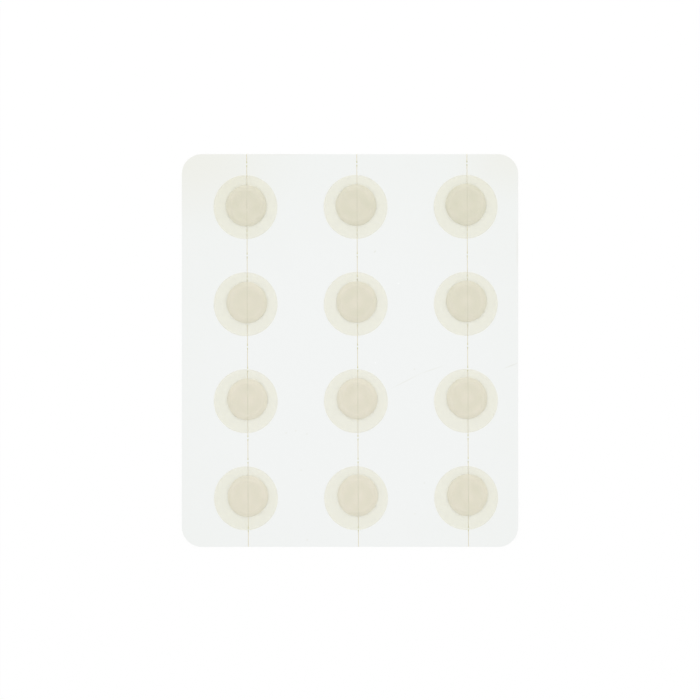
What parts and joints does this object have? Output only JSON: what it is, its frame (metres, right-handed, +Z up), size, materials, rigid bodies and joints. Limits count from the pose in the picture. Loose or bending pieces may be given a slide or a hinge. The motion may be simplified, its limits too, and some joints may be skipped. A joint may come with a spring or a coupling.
{
  "type": "acne patch",
  "caption": "Thin rectangular release liner with round corners and perforated lines, carrying rows of round acne patches, each a gel core under a wider clear cover film.",
  "frame": {"origin": "middle of the liner's underside, the face that the sheet lies on", "axes": "+X across the sheet to its right, +Y along the sheet to its top edge, +Z up out of the patch side"},
  "size_m": [0.0632, 0.0738, 0.0007],
  "materials": {
    "liner": "smooth siliconised, low sheen",
    "cover_film": "satin, translucent",
    "gel_core": "satin, cloudy gel"
  },
  "bodies": {
    "root": {"liner": "liner", "cover_film_r1c1": "cover_film", "cover_film_r1c2": "cover_film", "cover_film_r1c3": "cover_film", "cover_film_r2c1": "cover_film", "cover_film_r2c2": "cover_film", "cover_film_r2c3": "cover_film", "cover_film_r3c1": "cover_film", "cover_film_r3c2": "cover_film", "cover_film_r3c3": "cover_film", "cover_film_r4c1": "cover_film", "cover_film_r4c2": "cover_film", "cover_film_r4c3": "cover_film", "gel_core_r1c1": "gel_core", "gel_core_r1c2": "gel_core", "gel_core_r1c3": "gel_core", "gel_core_r2c1": "gel_core", "gel_core_r2c2": "gel_core", "gel_core_r2c3": "gel_core", "gel_core_r3c1": "gel_core", "gel_core_r3c2": "gel_core", "gel_core_r3c3": "gel_core", "gel_core_r4c1": "gel_core", "gel_core_r4c2": "gel_core", "gel_core_r4c3": "gel_core"}
  },
  "joints": []
}
